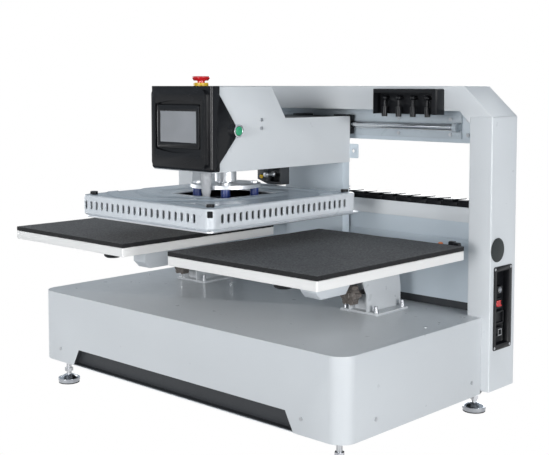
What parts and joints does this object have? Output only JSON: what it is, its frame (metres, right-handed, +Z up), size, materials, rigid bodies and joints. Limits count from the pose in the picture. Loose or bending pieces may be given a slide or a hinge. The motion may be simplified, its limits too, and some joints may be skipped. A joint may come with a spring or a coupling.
{
  "type": "dual station heat press",
  "caption": "Shuttle heat press: a heated platen on a head that slides along a portal frame between two fixed padded lower platens on a sheet-metal base.",
  "frame": {"origin": "on the floor, under the middle of the machine's bounding box", "axes": "+X along the portal to the side with the service panel, +Y to the back, +Z up"},
  "size_m": [0.993, 0.632, 0.7442],
  "materials": {
    "frame_paint": "satin light silver-grey powder coat",
    "grey_paint": "satin blue-grey powder coat",
    "dark_paint": "matt charcoal paint",
    "white_paint": "satin white baked enamel",
    "black_plastic": "satin black moulded plastic",
    "brown_plastic": "matt brown-black moulded plastic",
    "red_plastic": "glossy red",
    "green_plastic": "glossy green",
    "blue_plastic": "dark blue moulded plastic",
    "screen_glass": "grey unlit touch screen",
    "foam_pad": "matt charcoal silicone foam",
    "rubber": "black rubber",
    "sleeve": "light braided glass-fibre sleeve",
    "steel": "zinc-plated steel",
    "chrome": "polished chrome",
    "aluminium": "machined aluminium",
    "cover_metal": "pearl silver paint on pressed sheet"
  },
  "bodies": {
    "frame": {"base_housing": "frame_paint", "recess_pan": "dark_paint", "base_floor": "frame_paint", "electronics": "black_plastic", "foot_stems": "steel", "foot_pads": "chrome", "column_left": "frame_paint", "column_right": "frame_paint", "top_beam": "frame_paint", "column_caps": "black_plastic", "service_panel": "black_plastic", "service_sockets": "black_plastic", "rear_panel": "grey_paint", "slot_strip": "dark_paint", "rear_beam": "frame_paint", "back_cover": "grey_paint", "cable_chain": "black_plastic", "rail_plate": "grey_paint", "support_rail": "aluminium", "guide_shaft": "chrome", "shuttle_motor": "dark_paint", "drive_belt": "rubber", "pointer_housing": "black_plastic", "pedestal_left": "steel", "pedestal_right": "steel", "arm_left": "aluminium", "arm_right": "aluminium", "platen_left": "white_paint", "platen_right": "white_paint", "pad_left": "foam_pad", "pad_right": "foam_pad", "frame_fasteners": "steel"},
    "power_rocker": {"power_rocker": "red_plastic"},
    "pointer_1": {"pointer_1": "dark_paint"},
    "pointer_2": {"pointer_2": "dark_paint"},
    "pointer_3": {"pointer_3": "dark_paint"},
    "pointer_4": {"pointer_4": "dark_paint"},
    "clamp_knob_left": {"clamp_knob_left": "brown_plastic"},
    "clamp_knob_right": {"clamp_knob_right": "brown_plastic"},
    "head": {"head_cheeks": "frame_paint", "head_top": "black_plastic", "head_plate": "aluminium", "carriage": "grey_paint", "slide_blocks": "black_plastic", "bezel": "black_plastic", "screen_frame": "black_plastic", "screen": "screen_glass", "button_collars": "chrome", "head_screws": "steel", "press_actuator": "aluminium", "sensor_bracket": "dark_paint", "heater_sleeve": "sleeve"},
    "stop_button": {"stop_button": "red_plastic"},
    "start_button": {"start_button": "green_plastic"},
    "press": {"press_rod": "chrome", "press_flange": "aluminium", "flange_bushes": "blue_plastic", "heater_plate": "aluminium", "heater_cover": "cover_metal", "cover_caps": "black_plastic"}
  },
  "joints": [
    {"name": "head_slide", "type": "slide", "parent": "frame", "child": "head", "axis": [1, 0, 0], "range_m": [-0.2645, 0.2795]},
    {"name": "press_stroke", "type": "slide", "parent": "head", "child": "press", "axis": [0, 0, 1], "range_m": [-0.045, 0]},
    {"name": "stop_press", "type": "slide", "parent": "head", "child": "stop_button", "axis": [0, 0, -1], "range_m": [0, 0.004]},
    {"name": "start_press", "type": "slide", "parent": "head", "child": "start_button", "axis": [-1, 0, 0], "range_m": [0, 0.003], "stiffness_N_per_m": 500},
    {"name": "rocker_tip", "type": "hinge", "parent": "frame", "child": "power_rocker", "pos_m": [0.4844, 0.262, 0.256], "axis": [0, 1, 0], "range_deg": [0, 14]},
    {"name": "clamp_turn_left", "type": "hinge", "parent": "frame", "child": "clamp_knob_left", "pos_m": [-0.2915, 0.042, 0.274], "axis": [0, -1, 0], "range_deg": [0, 720]},
    {"name": "clamp_turn_right", "type": "hinge", "parent": "frame", "child": "clamp_knob_right", "pos_m": [0.2525, 0.042, 0.274], "axis": [0, -1, 0], "range_deg": [0, 720]},
    {"name": "pointer_tilt_1", "type": "hinge", "parent": "frame", "child": "pointer_1", "pos_m": [0.2245, 0.199, 0.697], "axis": [1, 0, 0], "range_deg": [-12, 4]},
    {"name": "pointer_tilt_2", "type": "hinge", "parent": "frame", "child": "pointer_2", "pos_m": [0.2635, 0.199, 0.697], "axis": [1, 0, 0], "range_deg": [-12, 4]},
    {"name": "pointer_tilt_3", "type": "hinge", "parent": "frame", "child": "pointer_3", "pos_m": [0.3025, 0.199, 0.697], "axis": [1, 0, 0], "range_deg": [-12, 4]},
    {"name": "pointer_tilt_4", "type": "hinge", "parent": "frame", "child": "pointer_4", "pos_m": [0.3415, 0.199, 0.697], "axis": [1, 0, 0], "range_deg": [-12, 4]}
  ]
}
